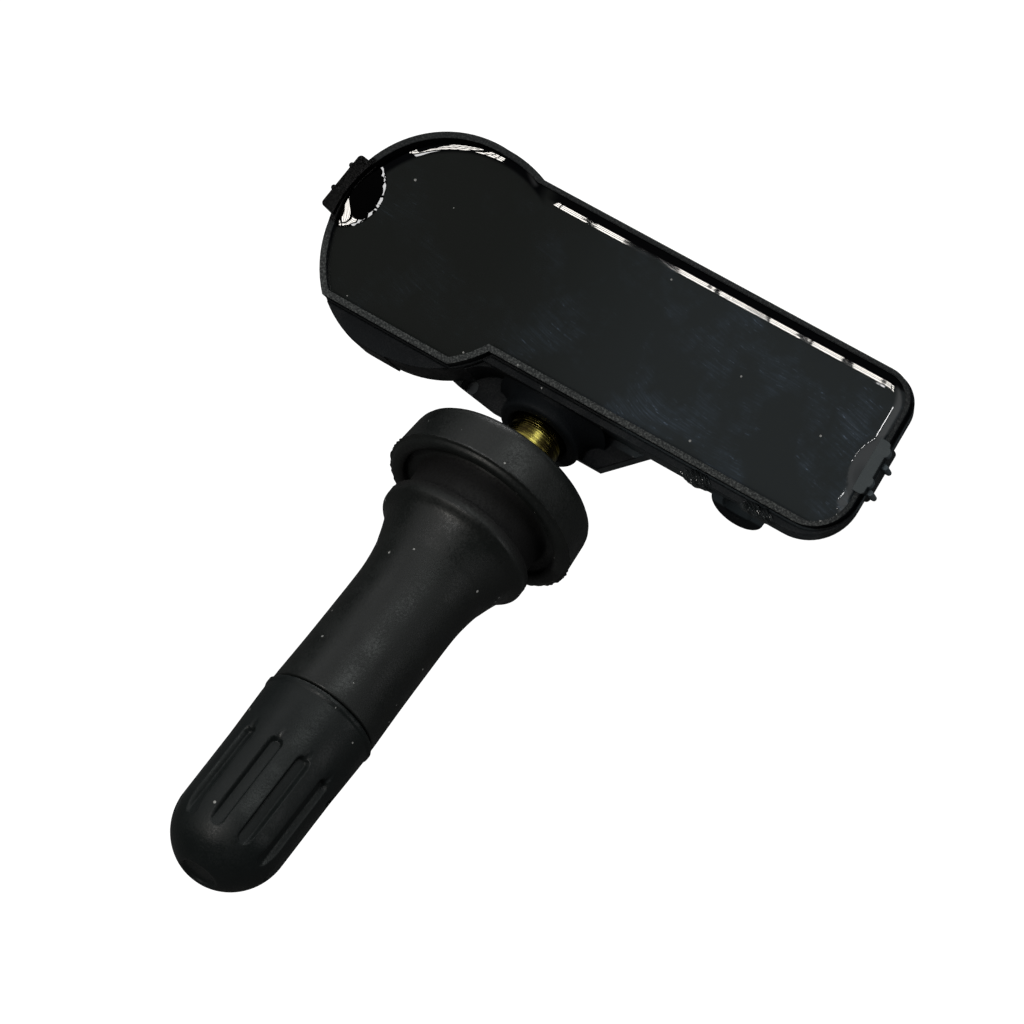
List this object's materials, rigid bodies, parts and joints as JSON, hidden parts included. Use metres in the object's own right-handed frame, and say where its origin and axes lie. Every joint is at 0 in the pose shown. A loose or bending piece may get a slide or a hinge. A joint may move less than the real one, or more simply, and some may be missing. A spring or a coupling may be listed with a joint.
{
  "type": "tyre_pressure_sensor",
  "caption": "Wheel-mounted tyre pressure sensor: potted plastic housing with a round battery end, screwed to a snap-in rubber valve stem with a brass core and a grooved plastic cap.",
  "frame": {"origin": "on the stem axis, in the middle of the groove that grips the wheel rim", "axes": "X runs along the housing's arm, from the battery to the pressure port; Y runs along the stem axis, from the cap into the wheel; Z is away from the housing's underside, at right angles to the stem axis"},
  "size_m": [0.0574, 0.0723, 0.0227],
  "materials": {
    "housing_plastic": "fine-grained dark plastic",
    "potting_resin": "glossy black potting resin",
    "board_green": "solder mask",
    "steel": "plain steel",
    "nickel_strip": "nickel strip",
    "chip_black": "moulded chip body",
    "seal_rubber": "soft black rubber",
    "seal_red": "red seal",
    "filter_white": "porous membrane",
    "copper": "copper",
    "ferrite": "ferrite",
    "capacitor_tan": "ceramic body",
    "brass": "turned brass",
    "stem_rubber": "moulded black rubber",
    "cap_plastic": "satin black plastic"
  },
  "bodies": {
    "sensor": {"housing": "housing_plastic", "potting": "potting_resin", "circuit_board": "board_green", "coin_cell": "steel", "battery_tab_positive": "nickel_strip", "battery_tab_negative": "nickel_strip", "sensor_chip": "chip_black", "radio_chip": "chip_black", "port_gasket": "seal_rubber", "port_filter": "filter_white", "antenna": "copper", "coil_core": "ferrite", "coil_winding": "copper", "crystal": "steel", "capacitors": "capacitor_tan", "resistors": "chip_black", "mounting_screw": "steel", "stem_brass": "brass", "stem_rubber": "stem_rubber", "core_plug": "brass", "core_barrel": "brass", "core_barrel_seal": "seal_red", "core_spring": "steel"},
    "valve_pin": {"core_pin": "brass", "core_cup": "brass", "core_cup_seal": "seal_rubber"},
    "cap_washer": {"cap_seal": "seal_rubber"},
    "cap": {"cap": "cap_plastic"}
  },
  "joints": [
    {"name": "pin_press", "type": "slide", "parent": "sensor", "child": "valve_pin", "axis": [0, 1, 0], "range_m": [0, 0.0012], "stiffness_N_per_m": 1000, "springref_m": -0.0015, "deforming": ["core_spring"]},
    {"name": "cap_lift", "type": "slide", "parent": "sensor", "child": "cap_washer", "axis": [0, -1, 0], "range_m": [0, 0.00873]},
    {"name": "cap_turn", "type": "hinge", "parent": "cap_washer", "child": "cap", "pos_m": [0, -0.0344, 0], "axis": [0, -1, 0], "range_deg": [0, 3960]}
  ],
  "couplings": [
    {"joint": "cap_turn", "follows": "cap_lift", "rad_per_m": 7913.3}
  ]
}
